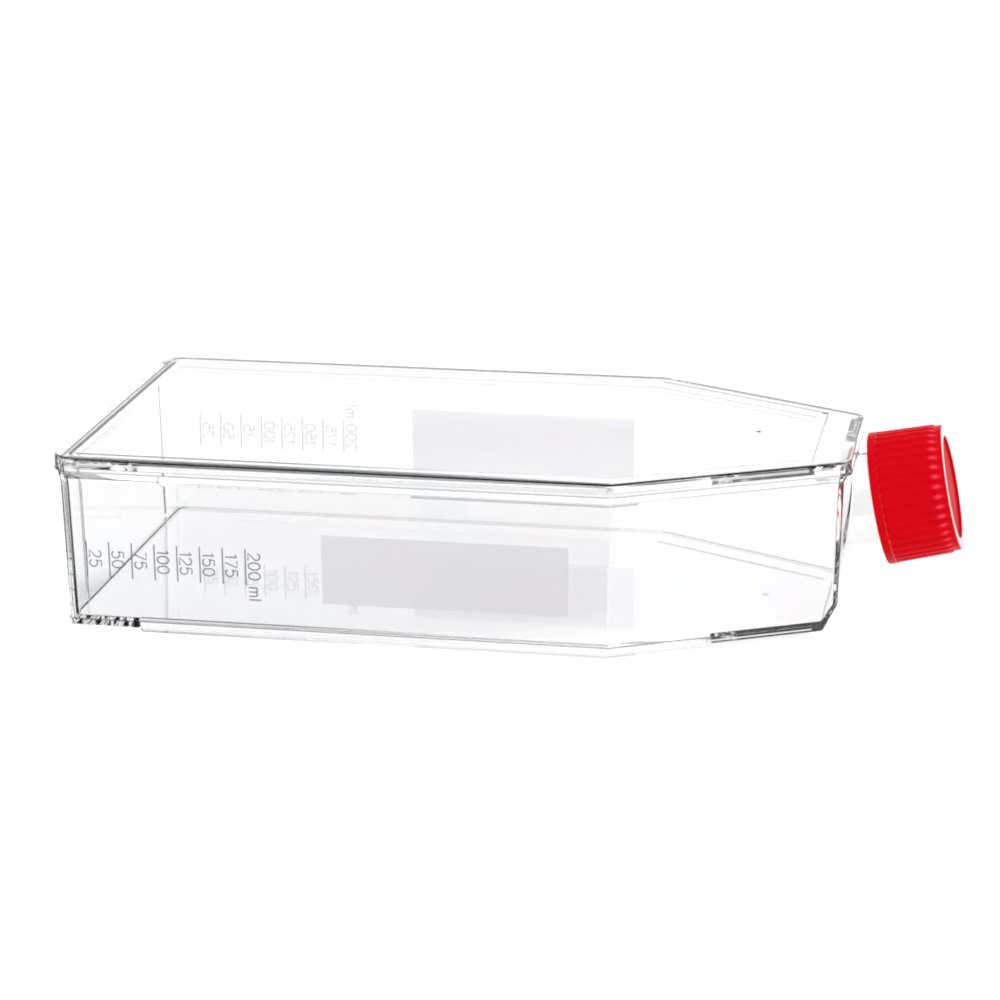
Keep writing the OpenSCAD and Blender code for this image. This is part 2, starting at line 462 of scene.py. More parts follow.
def neck_outside():
    lip = neck_length - edge_r
    profile = [(neck_root, neck_r), (thread_from - 1, neck_r)]
    profile += [(distance, neck_r) for distance in spaced(thread_from, lip, ring_step)]
    profile += rounded((lip, neck_r), (neck_length, neck_r), (neck_length, neck_r - edge_r))[1:]
    return turned("neck", profile, NECK_SEGMENTS, neck_thread)


def neck_bore():
    mouth_r = bore_r + edge_r
    profile = [(bore_root, bore_r)]
    profile += rounded((neck_length - edge_r, bore_r), (neck_length, bore_r), (neck_length, mouth_r))
    return turned("bore", profile + [(neck_length + past, mouth_r)], NECK_SEGMENTS)


combine(tub, neck_outside(), "UNION")
combine(tub, inside, "DIFFERENCE")
combine(tub, neck_bore(), "DIFFERENCE")
print("tub with neck:", len(tub.data.polygons), "faces")

# %% [markdown]
# ## A thinner panel in the back wall
#
# The middle of the back wall is a little thinner than its ends. That panel is an insert in the tool, set a
# little off the middle, and where an insert meets the rest of the tool the moulding gets a fine raised
# witness line. In clear plastic these two upright lines show as crisp strokes, so they are real ridges.

# %% Panel of the back wall
panel_near, panel_far = -39.0, 34.5
panel_d = 0.3
ridge_h = 0.45
ridge_root = 0.5
ridge_sunk = 0.01
below_lid = 0.1


def upright_bar(name, section):
    """A bar up the back wall from (x, y) points of its section; x is measured from the wall's inner face."""
    points = []
    for z in (foot_h + floor_t + floor_edge, seam_z - lid_t - below_lid):
        wall_x = back_x + wall_inset(z) + wall
        points += [Vector((wall_x + x, y, z)) * MM for x, y in section]
    return make_object(name, points, join_rings(2, len(section)))


panel = [(-panel_d, panel_near), (past, panel_near), (past, panel_far), (-panel_d, panel_far)]
combine(tub, upright_bar("panel", panel), "DIFFERENCE")
for edge in (panel_near, panel_far):
    low, high = edge - ridge_h, edge + ridge_h
    section = [(-ridge_root, low), (-ridge_sunk, low), (ridge_h, edge)]
    section += [(-ridge_sunk, high), (-ridge_root, high)]
    combine(tub, upright_bar("ridge", section), "UNION")
print("tub with panel:", len(tub.data.polygons), "faces")

# %% [markdown]
# ## The lid
#
# The lid is a plate with a raised rim. Its edge lies on the tub's flange, where it is welded, and its middle
# is set down inside the tub by one thickness, which leaves a recess on top for the feet of the next flask.
# The step under it tapers, so that it finds its way into the tub. The two mouldings overlap by a hair at
# the weld. Light then passes from one into the other almost unbent, as it does through a real weld, where
# a gap would make the joint a mirror.

# %% Lid
rim_land = 5.6
neck_end_land = 11.8
rim_r = 0.8
land_r = 0.12
recess_edge_r = 0.15
lid_gap = 0.3
weld_overlap = 0.02
taper = 0.7
neck_end_taper = 0.15
step_r = 0.3
step_lean = 0.1


def lid_levels():
    """The lid's outside, from its underside over the rim to the recess."""
    low, under = seam_z - lid_t, seam_z - weld_overlap
    recess_end = rim_length - neck_end_land
    gap_at = wall_inset(seam_z) + wall + lid_gap
    gap_end = recess_end + rim_land - gap_at
    step_at, step_end = gap_at + taper, gap_end - neck_end_taper

    def step_level(z, inset):
        return (z, step_at + inset, step_end - inset)

    def recess_level(z, inset):
        return (z, rim_land + inset, recess_end - inset)

    levels = rounded(step_level(low, step_r), step_level(low, 0), step_level(low + step_r, -step_lean))
    levels += [(under, gap_at, gap_end)]
    for level, steps, start, corner, end in (
        (rim_level, 3, (under, witness_r + seam_r), (under, witness_r), (under + seam_r, witness_r)),
        (rim_level, 6, (rim_top - rim_r, witness_r), (rim_top, witness_r), (rim_top, witness_r + rim_r)),
        (recess_level, 4, (rim_top, -land_r), (rim_top, 0), (rim_top - land_r, 0)),
        (recess_level, 3, (seam_z + recess_edge_r, 0), (seam_z, 0), (seam_z, recess_edge_r)),
    ):
        levels += rounded(level(*start), level(*corner), level(*end), steps)
    return levels


lid = stack("flask_lid", lid_levels())
print("lid:", len(lid.data.polygons), "faces")

# %% [markdown]
# ## The screw cap
#
# The cap is turned on the neck's axis too: a smooth band at the open end, forty grip ribs that stop short of
# the closed end, and a shallow recess in the closed end. Inside it has the matching thread and a plug ring
# that seals in the neck. Ribs and thread are again heights added to the radius of a turned shape, so the
# rings lie closer together where a rib fades out. Heights run from the open end.

# %% Cap
cap_r = 35.3 / 2
cap_end_r = 34.1 / 2
rib_count = 40
rib_h = 0.4
rib_drop = 0.1  # the ribs' crests lie a little inside the band
band = 2.2
end_band = 2.0
fade_past, fade_run = 0.3, 1.2  # how the ribs fade towards the closed end
foot_past, foot_run = 0.2, 0.3  # and at the band
crest_half, rib_flank = 0.44, 0.26  # of the spacing of the ribs
recess_r = 13.6
recess_d = 0.8
cap_round = 0.3
cap_end_round = 0.6
band_lean = 0.1
cap_bore_r = 15.4
bore_step = 0.25
mouth_flare = 0.5
plug_r = bore_r - 0.3
plug_t = 1.3
plug_h = 3.0
centre_r = 0.01
CAP_SEGMENTS = rib_count * 10


def cap_skirt(h):
    """Radius at the root of the ribs."""
    return cap_r - rib_drop - rib_h - (cap_r - rib_drop - cap_end_r) * h / cap_length


def rib_ridge(h, angle):
    """Height of a rib over its root."""
    if h <= band:
        return 0.0
    off = abs((angle * rib_count / (2 * math.pi) + 0.5) % 1 - 0.5)
    fade = smooth_step((cap_length - end_band + fade_past - h) / fade_run)
    fade *= smooth_step((h - band + foot_past) / foot_run)
    return rib_h * fade * smooth_step((crest_half - off) / rib_flank)


def cap_profile():
    """Rings of the plug, of the bore with its thread, and of the outside, as (height, radius)."""
    r = cap_round
    inner_h = cap_length - cap_end_t
    tip = inner_h - plug_h
    inside_r = plug_r - plug_t
    plug = [(inner_h, centre_r), (inner_h, inside_r), (tip + r, inside_r), (tip, inside_r + r)]
    plug += [(tip, plug_r - r), (tip + r, plug_r), (inner_h, plug_r), (inner_h, cap_bore_r)]
    bore = [(h, cap_bore_r) for h in spaced(inner_h - 0.3, 0.6, bore_step)]
    outside = [(0, cap_bore_r + mouth_flare)] + rounded((0, cap_r - r), (0, cap_r), (r, cap_r), 3)
    band_r = cap_r - (cap_r - rib_drop - cap_end_r) * band / cap_length
    outside += rounded((band - r, band_r), (band, band_r), (band + band_lean, band_r - r), 3)
    rib_end = cap_length - end_band
    heights = spaced(band + 0.25, rib_end - 1.3, step=0.6)
    heights += spaced(rib_end - 1.1, rib_end + 0.4, step=0.1)
    outside += [(h, cap_skirt(h)) for h in heights]
    shoulder_h = cap_length - cap_end_round
    end_r = cap_skirt(cap_length)
    outside += rounded(
        (shoulder_h, cap_skirt(shoulder_h)), (cap_length, end_r), (cap_length, end_r - cap_end_round), 6
    )
    outside += rounded((cap_length, recess_r + r), (cap_length, recess_r), (cap_length - r, recess_r), 3)
    floor_h = cap_length - recess_d
    outside += rounded((floor_h + r, recess_r), (floor_h, recess_r), (floor_h, recess_r - r), 3)
    return plug, bore, outside + [(floor_h, centre_r)]


def cap_solid():
    plug, bore, outside = cap_profile()
    start = thread_start + thread_pitch / 2 - neck_gap  # between two turns of the neck's thread

    def relief(distance, angle, i):
        h = distance - neck_gap
        if i < len(plug):
            return 0.0
        if i < len(plug) + len(bore):
            return -thread_ridge(h, angle, start, thread_turns, thread_h)
        return rib_ridge(h, angle)

    profile = [(neck_gap + h, r) for h, r in plug + bore + outside]
    return turned("cap_shell", profile, CAP_SEGMENTS, relief)


cap = cap_solid()
print("cap:", len(cap.data.polygons), "faces")

# %% [markdown]
# ## Gate marks
#
# Plastic enters each clear moulding through one point, which leaves a small disc. On clear plastic it is
# one of the few marks that the eye finds.

# %% Gate marks
lid_gate = (178.1, 7.7)
tub_gate = (181.5, 0)


def gate_mark(x, y, z, up):
    """A low disc with a dimple, standing on a flat face at z; up is -1 under the flask."""
    section = [(0.9, -0.2), (0.9, 0.15), (0.75, 0.25), (0.45, 0.25), (0.25, 0.1)]
    segments = 24
    points = [
        Vector((back_x + x + r * math.cos(a), y + r * math.sin(a), z + up * h)) * MM
        for r, h in section
        for a in [2 * math.pi * k / segments for k in range(segments)]
    ]
    return make_object("gate", points, join_rings(len(section), segments))


combine(lid, gate_mark(*lid_gate, seam_z, 1), "UNION")
combine(tub, gate_mark(*tub_gate, foot_h, -1), "UNION")
print("lid:", len(lid.data.polygons), "faces; tub:", len(tub.data.polygons), "faces")

# %% [markdown]
# ## The weld
#
# Lid and flange are welded with ultrasound. A little melt is squeezed out at the outer edge of the joint and
# freezes as a hair-thin bead that swells and wanders, which is the only line on the flask that isn't drawn
# with a ruler. It is a thin tube along the outline whose thickness and height follow a smooth noise.

# %% Weld bead
bead_r = 0.02
bead_swell = 0.16
bead_out = 0.03
bead_rise = 0.25
bead_step = 1.2
swell_size, grain_size, rise_size = 5, 1.5, 9
grain_share = 0.6
calm = 0.25  # below this the noise doesn't swell the bead
BEAD_SIDES = 6


def walk(loop, step):
    """Points about a step apart along a closed loop."""
    points = []
    for i, (x, y) in enumerate(loop):
        after = loop[(i + 1) % len(loop)]
        shares = spaced(0, 1, step / max(math.dist((x, y), after), step))
        points += [(x + (after[0] - x) * t, y + (after[1] - y) * t) for t in shares[:-1]]
    return points


def wander(x, y, layer, size):
    """Smooth noise round zero whose swells are about so many millimetres long; each layer is another one."""
    return noise.noise(Vector((x, y, layer)) / size)


def weld_bead():
    path = walk(outline(witness_r + bead_out), bead_step)
    points = []
    for i, (x, y) in enumerate(path):
        before, after = path[i - 1], path[(i + 1) % len(path)]
        along = Vector((after[0] - before[0], after[1] - before[1], 0)).normalized()
        out = Vector((along.y, -along.x, 0))
        swell = wander(x, y, 0, swell_size) + grain_share * wander(x, y, 40, grain_size)
        radius = bead_r + bead_swell * max(swell - calm, 0)
        z = seam_z + bead_rise * wander(x, y, 80, rise_size)
        for k in range(BEAD_SIDES):
            a = 2 * math.pi * k / BEAD_SIDES
            middle = Vector((back_x + x, y, z + radius * math.sin(a)))
            points.append((middle + out * radius * math.cos(a)) * MM)
    return make_object("weld_bead", points, join_rings(len(path), BEAD_SIDES, closed=True))


weld = weld_bead()
print("weld bead:", len(weld.data.polygons), "faces")

# %% [markdown]
# ## Printed graduation and writing field
#
# Both side walls carry the same print, the far one turned half a turn about the flask's length, so that it
# reads from outside and its lines stand at the same places. The scale is for the flask stood on its back
# wall: lines 25 ml apart, each with its number on the neck side. The numerals are drawn as single strokes,
# as an engraver's are. A font would bring in lettering of someone's own; strokes from arcs and lines keep
# it plain.

# %% Stroke numerals, one unit high
def bow(x, y, rx, ry, start, end, steps=12):
    """Points of an elliptical arc; angles in degrees."""
    angles = [math.radians(start + (end - start) * i / steps) for i in range(steps + 1)]
    return [(x + rx * math.cos(a), y + ry * math.sin(a)) for a in angles]


HUMP = 0.17
NUMERALS = {
    "0": (0.78, [bow(0.31, 0.5, 0.29, 0.5, 90, 450, 24)]),
    "1": (0.5, [[(0.06, 0.8), (0.26, 1.0), (0.26, 0.0)]]),
    "2": (0.74, [bow(0.29, 0.71, 0.27, 0.29, 165, -40) + [(0.02, 0.0), (0.6, 0.0)]]),
    "5": (0.76, [[(0.54, 1.0), (0.12, 1.0), (0.07, 0.53)] + bow(0.29, 0.33, 0.29, 0.33, 125, -150)]),
    "7": (0.72, [[(0.02, 1.0), (0.58, 1.0), (0.2, 0.0)]]),
    "m": (
        0.95,
        [
            [(0.06, 0.7), (0.06, 0.0)],
            bow(0.06 + HUMP, 0.5, HUMP, 0.2, 180, 0) + [(0.06 + 2 * HUMP, 0.0)],
            bow(0.06 + 3 * HUMP, 0.5, HUMP, 0.2, 180, 0) + [(0.06 + 4 * HUMP, 0.0)],
        ],
    ),
    "l": (0.3, [[(0.08, 1.0), (0.08, 0.0)]]),
    " ": (0.4, []),
}


def run_of(text, size):
    """How far a text runs along its baseline, in millimetres."""
    return sum(NUMERALS[letter][0] for letter in text) * size[0]


def written(text, size):
    """Strokes of a text, in millimetres, from (0, 0) on its baseline; size is its unit's run and height."""
    strokes, pen = [], 0.0
    for letter in text:
        width, lines = NUMERALS[letter]
        strokes += [[((pen + x) * size[0], y * size[1]) for x, y in line] for line in lines]
        pen += width
    return strokes


# %% [markdown]
# ### Ink on a wall
#
# Printed ink is a few hundredths of a millimetre thick at most, so each stroke becomes a solid ribbon that
# thin. It stands a little off the drafted wall, because two faces in one place would show as noise.

# %% Ribbons and fields on the side walls
ink_t = 0.02
ink_gap = 0.005
stroke_w = 0.38
half_turn_z = 46.9  # the heights of the near and the far copy add up to this
far_shift = 2.0


def wall_y(z):
    """The near wall's outer face at a height."""
    return -(rim_width / 2 - wall_inset(z))


def on_wall(x, z, lift):
    """A point just off the near wall, in millimetres."""
    return Vector((back_x + x, wall_y(z) - lift, z))


def ribbon(line, width):
    """Points and faces of one printed stroke, from (x, z) points on the wall."""
    left, right = [], []
    for i, (x, z) in enumerate(line):
        before, after = line[max(i - 1, 0)], line[min(i + 1, len(line) - 1)]
        along = Vector((after[0] - before[0], after[1] - before[1])).normalized()
        side = Vector((-along.y, along.x)) * width / 2
        left.append((x + side.x, z + side.y))
        right.append((x - side.x, z - side.y))
    top = ink_gap + ink_t
    points = []
    for a, b in zip(left, right):
        points += [on_wall(*a, ink_gap), on_wall(*a, top), on_wall(*b, top), on_wall(*b, ink_gap)]
    return points, join_rings(len(line), 4)


def printed(name, ribbons, far):
    """One piece from ribbons; the far copy is turned half a turn about the flask's length."""
    points, faces = [], []
    for corners, quads in ribbons:
        faces += [tuple(i + len(points) for i in quad) for quad in quads]
        points += corners
    if far:
        turned_z = [half_turn_z - p.z for p in points]
        far_y = [wall_y(p.z) - wall_y(z) - p.y for p, z in zip(points, turned_z)]
        points = [Vector((p.x + far_shift, y, z)) for p, y, z in zip(points, far_y, turned_z)]
    return make_object(name, [p * MM for p in points], faces)


# %% [markdown]
# ### The scale and the field
#
# A step of 6.12 mm holds close to 25 ml. Each number reads along its line, centred on it, and only
# the last one is followed by the unit. The field to write on is one broad ribbon.

# %% The scale and the field
tick_x, tick_pitch = 8.9, 6.12
tick_top, tick_low = 25.6, 15.7
digit_size = (3.45, 3.15)
digit_gap = 0.75
volumes = range(25, 201, 25)
field_start, field_end = 72.1, 136.6
field_top, field_low = 30.5, 11.8


def graduation():
    ribbons = []
    for i, volume in enumerate(volumes):
        x = tick_x + tick_pitch * i
        ribbons.append(ribbon([(x, z) for z in spaced(tick_top, tick_low, step=2)], stroke_w))
        start = (tick_top + tick_low + run_of(str(volume), digit_size)) / 2
        text = f"{volume} ml" if volume == volumes[-1] else str(volume)
        for line in written(text, digit_size):
            ribbons.append(ribbon([(x + digit_gap + v, start - u) for u, v in line], stroke_w))
    return ribbons


def label():
    middle = (field_top + field_low) / 2
    return [ribbon([(x, middle) for x in spaced(field_start, field_end, step=10)], field_top - field_low)]


prints = [
    printed(f"{name}_{side}", ribbons, side == "far")
    for name, ribbons in (("graduation", graduation()), ("label", label()))
    for side in ("near", "far")
]
print("print:", {piece.name: len(piece.data.polygons) for piece in prints})

# %% [markdown]
# ## Shading the edges
#
# Smooth shading averages normals across an edge, and on a flat wall beside a small fillet that would bend
# the light over the whole wall. Weighting each normal by its face's area keeps the flats flat and lets only
# the fillets turn.

# %% Smooth the fillets
def smooth(piece, sharp_deg=35):
    piece.data.shade_smooth()
    piece.data.set_sharp_from_angle(angle=math.radians(sharp_deg))
    weight = piece.modifiers.new("flats stay flat", "WEIGHTED_NORMAL")
    weight.keep_sharp = True
    weight.weight = 100


for piece in (tub, lid, cap):
    smooth(piece)
weld.data.shade_smooth()

# %% [markdown]
# ## Materials
#
# Each material is named for the real one and its finish. Blender works with linear colours, while a colour
# is easier to name in sRGB, so one function turns one into the other. The next adds any node with its
# settings and links, and the next fills a Color Ramp, whose stops may be brighter than white.

# %% Helpers for materials
def colour(code):
    """An sRGB hex value as the linear colour that Blender works in."""
    parts = [int(code[i : i + 2], 16) / 255 for i in (1, 3, 5)]
    return [p / 12.92 if p <= 0.04045 else ((p + 0.055) / 1.055) ** 2.4 for p in parts] + [1.0]


def add_node(tree, kind, settings=(), links=()):
    """Adds a node; settings are (socket or property, value), links are (input, output socket)."""
    node = tree.nodes.new(kind)
    for name, value in dict(settings).items():
        if name in node.inputs:
            node.inputs[name].default_value = value
        else:
            setattr(node, name, value)
    for name, output in dict(links).items():
        tree.links.new(output, node.inputs[name])
    return node


def ramp_node(tree, value, stops):
    """The colour from a Color Ramp whose stops are (position, sRGB code, strength)."""
    node = add_node(tree, "ShaderNodeValToRGB", links={"Fac": value})
    ramp = node.color_ramp
    ramp.elements.remove(ramp.elements[-1])
    ramp.elements[0].position = stops[0][0]
    for position, _, _ in stops[1:]:
        ramp.elements.new(position)
    for stop, (_, code, strength) in zip(ramp.elements, stops):
        stop.color = [strength * part for part in colour(code)[:3]] + [1]
    return node.outputs["Color"]


def new_material(name):
    material = bpy.data.materials.new(name)
    material.use_nodes = True
    material.node_tree.nodes.clear()
    return material, material.node_tree


# %% [markdown]
# ### Clear polystyrene
#
# General-purpose polystyrene is water-clear and, against a polished steel tool, comes out almost as smooth
# as glass: a roughness of 0.025 only takes the hardness off what it mirrors. Its index is high for a
# plastic, 1.59, and that is why its edges look so dark: light that enters a wall at an edge is trapped by
# total reflection and carries the dark of the room to the eye. Frozen stress gives it very faint rainbow
# tints, drawn here as a slow wash of pale colours about sixty millimetres wide. Cycles would darken all
# that lies behind glass, because its light can't reach through by chance, so shadow and diffuse rays pass
# straight through a nearly clear Transparent shader.

# %% Clear polystyrene
stress_tints = ((0.3, "#FDFEFE"), (0.42, "#FBFDFE"), (0.5, "#FEFEFE"), (0.58, "#FEFCFD"), (0.7, "#FDFEFD"))


def clear_polystyrene():
    material, tree = new_material("clear moulded polystyrene")
    place = add_node(tree, "ShaderNodeTexCoord")
    wash_scale = 1 / (60 * MM)
    wash = add_node(
        tree,
        "ShaderNodeTexNoise",
        {"Scale": wash_scale, "Detail": 1.0, "Distortion": 0.6},
        {"Vector": place.outputs["Object"]},
    )
    tints = ramp_node(tree, wash.outputs["Fac"], [(at, code, 1.0) for at, code in stress_tints])
    glass = add_node(
        tree,
        "ShaderNodeBsdfPrincipled",
        {"Roughness": 0.025, "IOR": 1.59, "Transmission Weight": 1.0},
        {"Base Color": tints},
    )
    open_way = add_node(tree, "ShaderNodeBsdfTransparent", {"Color": colour("#FCFCFD")})
    path = add_node(tree, "ShaderNodeLightPath")
    surface = glass
    for kind in ("Is Shadow Ray", "Is Diffuse Ray"):
        mix = add_node(tree, "ShaderNodeMixShader", links={"Fac": path.outputs[kind]})
        tree.links.new(surface.outputs[0], mix.inputs[1])
        tree.links.new(open_way.outputs[0], mix.inputs[2])
        surface = mix
    add_node(tree, "ShaderNodeOutputMaterial", links={"Surface": surface.outputs[0]})
    return material


polystyrene = clear_polystyrene()
for piece in (tub, lid, weld):
    piece.data.materials.clear()
    piece.data.materials.append(polystyrene)


# %% [markdown]
# ### Red polyethylene
#
# The cap is high-density polyethylene with a strong organic red in it. Polyethylene is waxy: its skin
# scatters a little, so highlights are soft, and the colour stays deep because little white light is
# reflected at the surface itself. The tool isn't the same all over: the flat end and the shoulder of the
# band are polished and take a bright gleam, and the recessed disc is spark-eroded and dull. One function
# gives all three, so the colour and the grain stay the same and only the gloss changes. The colour carries
# one painted highlight: the ends of the ribs' crests are paled to pink where they would catch the light.

# %% Red polyethylene
rough_spread = 0.03
MOULDED, POLISHED, ERODED = range(3)


def red_polyethylene(finish, specular, rough):
    material, tree = new_material(f"red polyethylene, {finish}")
    place = add_node(tree, "ShaderNodeTexCoord")
    grain_scale = 1 / (0.4 * MM)
    grain = add_node(
        tree, "ShaderNodeTexNoise", {"Scale": grain_scale, "Detail": 3.0}, {"Vector": place.outputs["Object"]}
    )
    gloss = add_node(
        tree,
        "ShaderNodeMapRange",
        {"From Min": 0.3, "From Max": 0.7, "To Min": rough - rough_spread, "To Max": rough + rough_spread},
        {"Value": grain.outputs["Fac"]},
    )
    bump = add_node(
        tree,
        "ShaderNodeBump",
        {"Strength": 0.1, "Distance": 0.01 * MM},
        {"Height": grain.outputs["Fac"]},
    )
    # Painted highlight: a number stored on the mesh pales the red to pink at the ribs' ends, standing in for
    # a glint.
    rib_glint = add_node(tree, "ShaderNodeAttribute", {"attribute_name": "rib_glint"})
    red = ramp_node(tree, rib_glint.outputs["Fac"], ((0, "#CB0010", 1.0), (1, "#F24A60", 1.0)))
    shader = add_node(
        tree,
        "ShaderNodeBsdfPrincipled",
        {"IOR": 1.54, "Specular IOR Level": specular},
        {
            "Base Color": red,
            "Roughness": gloss.outputs["Result"],
            "Normal": bump.outputs["Normal"],
        },
    )
    add_node(tree, "ShaderNodeOutputMaterial", links={"Surface": shader.outputs[0]})
    return material


for finish in (("moulded", 0.03, 0.35), ("polished", 0.4, 0.2), ("spark-eroded", 0.03, 0.55)):
    cap.data.materials.append(red_polyethylene(*finish))


# %% [markdown]
# ### Finishes and painted rib-end highlights on the cap
#
# The cap is one mesh, so each face is told which of the three materials it takes, from its place in the
# profile. The painted rib-end highlight is a number stored at each point, read with an Attribute node.

# %% Finishes and painted rib-end highlights on the cap
margin = 0.1
flat_depth = 0.15
shoulder_w = 0.2
# Place and size of the painted highlight at the ends of the ribs' crests.
glint_h, glint_length, glint_width = 17.0, 0.8, 0.15


def cap_finish(h, radius):
    """Which finish a place on the outside of the cap has."""
    in_recess = radius < recess_r + margin
    if in_recess and h > cap_length - recess_d - margin:
        return ERODED
    flat_end = h > cap_length - flat_depth and not in_recess
    shoulder_line = abs(h - band - band_lean / 2) < shoulder_w
    return POLISHED if flat_end or shoulder_line else MOULDED


def rubbed_pale(h, off_crest):
    """Painted highlight: how far the red is paled to pink, 1 at the end of a rib's crest, fading all round.
    """
    return math.exp(-(((h - glint_h) / glint_length) ** 2) - (off_crest / glint_width) ** 2)


plug_rings, bore_rings, outside_rings = cap_profile()
first = len(plug_rings) + len(bore_rings)
# The painted highlight at the ribs' ends, stored at each point of the cap's outside.
painted_glint = cap.data.attributes.new("rib_glint", "FLOAT", "POINT")
for point in range(first * CAP_SEGMENTS, (first + len(outside_rings)) * CAP_SEGMENTS):
    ring, step = divmod(point, CAP_SEGMENTS)
    off_crest = abs((step * rib_count / CAP_SEGMENTS + 0.5) % 1 - 0.5)
    painted_glint.data[point].value = rubbed_pale(outside_rings[ring - first][0], off_crest)
for face in cap.data.polygons:
    ring = face.index // CAP_SEGMENTS - first
    if 0 <= ring < len(outside_rings) - 1:
        (h0, r0), (h1, r1) = outside_rings[ring], outside_rings[ring + 1]
        face.material_index = cap_finish((h0 + h1) / 2, (r0 + r1) / 2)
finishes = [face.material_index for face in cap.data.polygons]
print("cap faces by finish:", [finishes.count(i) for i in (MOULDED, POLISHED, ERODED)])

# %% [markdown]
# ### Print
#
# The graduation and the writing field are pad-printed in a thin grey ink. The ink is translucent, so the
# far wall's print shows through the flask, and it is matt beside the polished wall. These walls are flatter
# than moulded ones and would mirror it too sharply, so rays that come off a mirror skip it.

# %% Grey printing inks
def printing_ink(name, code, alpha):
    material, tree = new_material(name)
    shader = add_node(
        tree,
        "ShaderNodeBsdfPrincipled",
        {"Base Color": colour(code), "Roughness": 0.6, "Specular IOR Level": 0.1, "Alpha": alpha},
    )
    add_node(tree, "ShaderNodeOutputMaterial", links={"Surface": shader.outputs[0]})
    return material


line_ink = printing_ink("grey graduation ink", "#6E6A74", 0.62)
field_ink = printing_ink("pale grey field ink", "#D8D6DA", 0.6)
for piece in prints:
    piece.data.materials.append(field_ink if piece.name.startswith("label") else line_ink)
    piece.visible_glossy = False

# %% [markdown]
# ## Bodies
#
# The cap comes off and the flask stays, so every piece says which of the two it moves with. The three
# mouldings also stand for their nodes of the CAD model. The bead and the ink go with the flask.

# %% Pieces ride on their bodies
for piece, node, body, slot in (
    (tub, "flask_body", "flask", "clear_polystyrene"),
    (lid, "top_plate", "flask", "lid_polystyrene"),
    (cap, "screw_cap", "cap", "red_polyethylene"),
):
    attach(piece, body)
    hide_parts(node)
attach(weld, "flask")
for piece in prints:
    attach(piece, "flask")

# %% [markdown]
# ## Studio
#
# Clear plastic has no look of its own: it shows what surrounds it. The flask stands on a white sweep that is
# burnt out behind it, and the rest of the studio is dark, above and in front. What is seen straight through
# a wall is the white sweep. What is seen after a reflection, inside an edge or off the cap, may be the dark
# side of the studio, and that draws the crisp lines. The Light Path node tells the two apart: its Glossy
# Depth counts the reflections on the way. Matt surfaces are lit evenly, so nothing throws a shadow.

# %% Helpers for the studio
bright_side = Vector((0.45, 0.89, 0))  # from the flask towards the lit part of the sweep
white, dark = "#FFFFFF", "#25282D"
direct_white = 1.2


def towards_bright(tree, vector, low, high):
    """How far a place or a direction lies to the bright side, from 0 at low to 1 at high."""
    along = add_node(tree, "ShaderNodeVectorMath", {"operation": "DOT_PRODUCT"})
    tree.links.new(vector, along.inputs[0])
    along.inputs[1].default_value = bright_side
    spread = {"From Min": low, "From Max": high}
    return add_node(tree, "ShaderNodeMapRange", spread, {"Value": along.outputs["Value"]}).outputs["Result"]


def after_reflection(tree, path):
    """1 for rays that have been reflected on their way, else 0."""
    node = add_node(tree, "ShaderNodeMath", {"operation": "GREATER_THAN"})
    tree.links.new(path.outputs["Glossy Depth"], node.inputs[0])
    node.inputs[1].default_value = 0.5
    return node.outputs[0]


def mix_shaders(tree, factor, first, second):
    mix = add_node(tree, "ShaderNodeMixShader", links={"Fac": factor})
    tree.links.new(first.outputs[0], mix.inputs[1])
    tree.links.new(second.outputs[0], mix.inputs[2])
    return mix


# %% [markdown]
# ### Floor
#
# The floor answers in three ways. Seen directly it is burnt out to white. Through a clear wall, and for
# matt surfaces, it is plain white. In reflections it is a ramp: dark on the viewer's side, a little over
# white from under the flask to behind it, and brighter still further off.

# %% Floor
floor_size = 6.0
floor_corners = [(-floor_size, -floor_size, 0), (floor_size, -floor_size, 0)]
floor_corners += [(floor_size, floor_size, 0), (-floor_size, floor_size, 0)]
floor = make_object("floor", floor_corners, [(0, 1, 2, 3)])
floor_fade = 0.2
floor_ramp = ((0.33, dark, 1.0), (0.38, white, 1.15), (0.7, white, 1.15), (0.95, white, 2.4))


def white_sweep():
    """Burnt out to white when seen directly, and fading to the dark side of the studio in reflections."""
    material, tree = new_material("white sweep")
    place = add_node(tree, "ShaderNodeTexCoord")
    plain = add_node(tree, "ShaderNodeBsdfDiffuse", {"Color": colour("#F6F6F6")})
    burnt = add_node(tree, "ShaderNodeEmission", {"Strength": direct_white})
    side = towards_bright(tree, place.outputs["Object"], -floor_fade, floor_fade)
    mirrored = add_node(tree, "ShaderNodeEmission", links={"Color": ramp_node(tree, side, floor_ramp)})
    path = add_node(tree, "ShaderNodeLightPath")
    seen = mix_shaders(tree, after_reflection(tree, path), plain, mirrored)
    seen = mix_shaders(tree, path.outputs["Is Diffuse Ray"], seen, plain)
    seen = mix_shaders(tree, path.outputs["Is Camera Ray"], seen, burnt)
    add_node(tree, "ShaderNodeOutputMaterial", links={"Surface": seen.outputs[0]})
    return material


floor.data.materials.append(white_sweep())

# %% [markdown]
# ### World
#
# The world closes the studio: the sweep rises to twenty degrees, and from twenty-five up there is only the
# dark. In reflections the viewer's side is dark too. Matt surfaces get an even white from all round.

# %% World
sweep_top, dark_from = [math.sin(math.radians(elevation)) for elevation in (20, 25)]
world_ramp = [(at, white, direct_white) for at in (0, sweep_top)] + [(at, dark, 1.0) for at in (dark_from, 1)]
world_fade = 0.15
even_light = 1.25


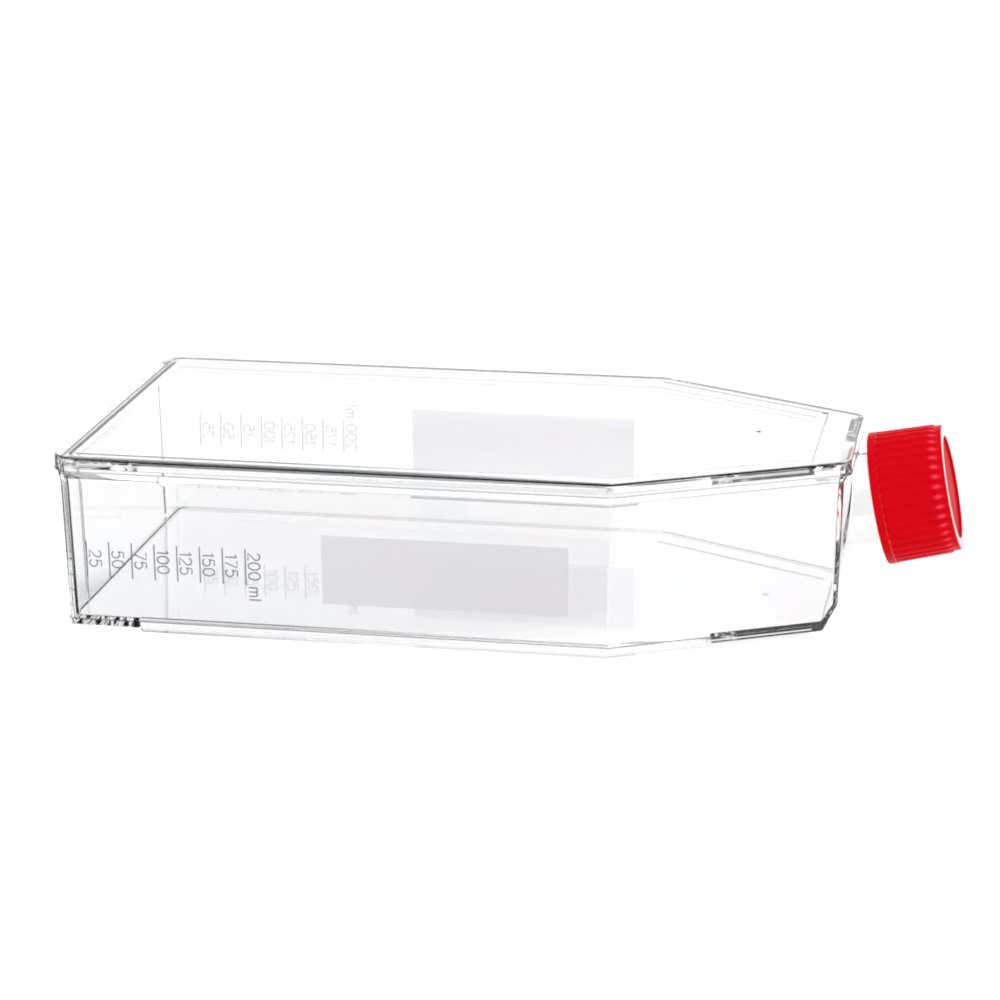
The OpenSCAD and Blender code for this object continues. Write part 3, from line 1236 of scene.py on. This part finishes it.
def soft_studio():
    """Even white for matt surfaces; for clear and glossy ones a band of sweep with the dark studio above."""
    world = bpy.data.worlds.new("soft studio")
    world.use_nodes = True
    world.cycles.sampling_method = "NONE"
    tree = world.node_tree
    tree.nodes.clear()
    place = add_node(tree, "ShaderNodeTexCoord")
    height = add_node(tree, "ShaderNodeSeparateXYZ", links={"Vector": place.outputs["Generated"]})
    walls = ramp_node(tree, height.outputs["Z"], world_ramp)
    side = towards_bright(tree, place.outputs["Generated"], -world_fade, world_fade)
    even = add_node(tree, "ShaderNodeBackground", {"Color": colour(white), "Strength": even_light})
    through = add_node(tree, "ShaderNodeBackground", links={"Color": walls})
    mirrored = add_node(tree, "ShaderNodeBackground", links={"Color": walls, "Strength": side})
    path = add_node(tree, "ShaderNodeLightPath")
    seen = mix_shaders(tree, path.outputs["Is Transmission Ray"], even, through)
    seen = mix_shaders(tree, after_reflection(tree, path), seen, mirrored)
    seen = mix_shaders(tree, path.outputs["Is Diffuse Ray"], seen, even)
    add_node(tree, "ShaderNodeOutputWorld", links={"Surface": seen.outputs[0]})
    return world


bpy.context.scene.world = soft_studio()

# %% [markdown]
# ## Camera
#
# The camera stands about 0.85 m away with a long lens, so the far wall looks only a little smaller than the
# near one. Its right, its up and the way it looks make up its rotation.

# %% Camera
camera_data = bpy.data.cameras.new("camera")
camera_data.lens = 114.12
camera_data.sensor_width = 36
camera = bpy.data.objects.new("camera", camera_data)
right = Vector((0.98307, 0.18313, -0.00477))
up = Vector((-0.04843, 0.28494, 0.9573))
forward = Vector((-0.17667, 0.94088, -0.28899))
turn = Matrix((right, up, -forward)).transposed().to_4x4()
camera.matrix_world = Matrix.Translation(Vector((back_x + 261.0, -808.1, 274.6)) * MM) @ turn
bpy.context.scene.collection.objects.link(camera)
bpy.context.scene.camera = camera

# %% [markdown]
# ## Render settings
#
# The Standard view keeps white as white. Light crosses many surfaces on its way through the flask, so it
# may bounce often. Caustics would only add noise. A wide filter softens the thinnest lines, as a lens does.

# %% Render settings
LIGHT_BOUNCES = 14
scene = bpy.context.scene
scene.view_settings.view_transform = "Standard"
scene.cycles.max_bounces = LIGHT_BOUNCES
scene.cycles.transmission_bounces = LIGHT_BOUNCES
scene.cycles.glossy_bounces = LIGHT_BOUNCES
scene.cycles.transparent_max_bounces = 32
scene.cycles.caustics_reflective = False
scene.cycles.caustics_refractive = False
scene.cycles.use_denoising = True
scene.cycles.filter_width = 2.0
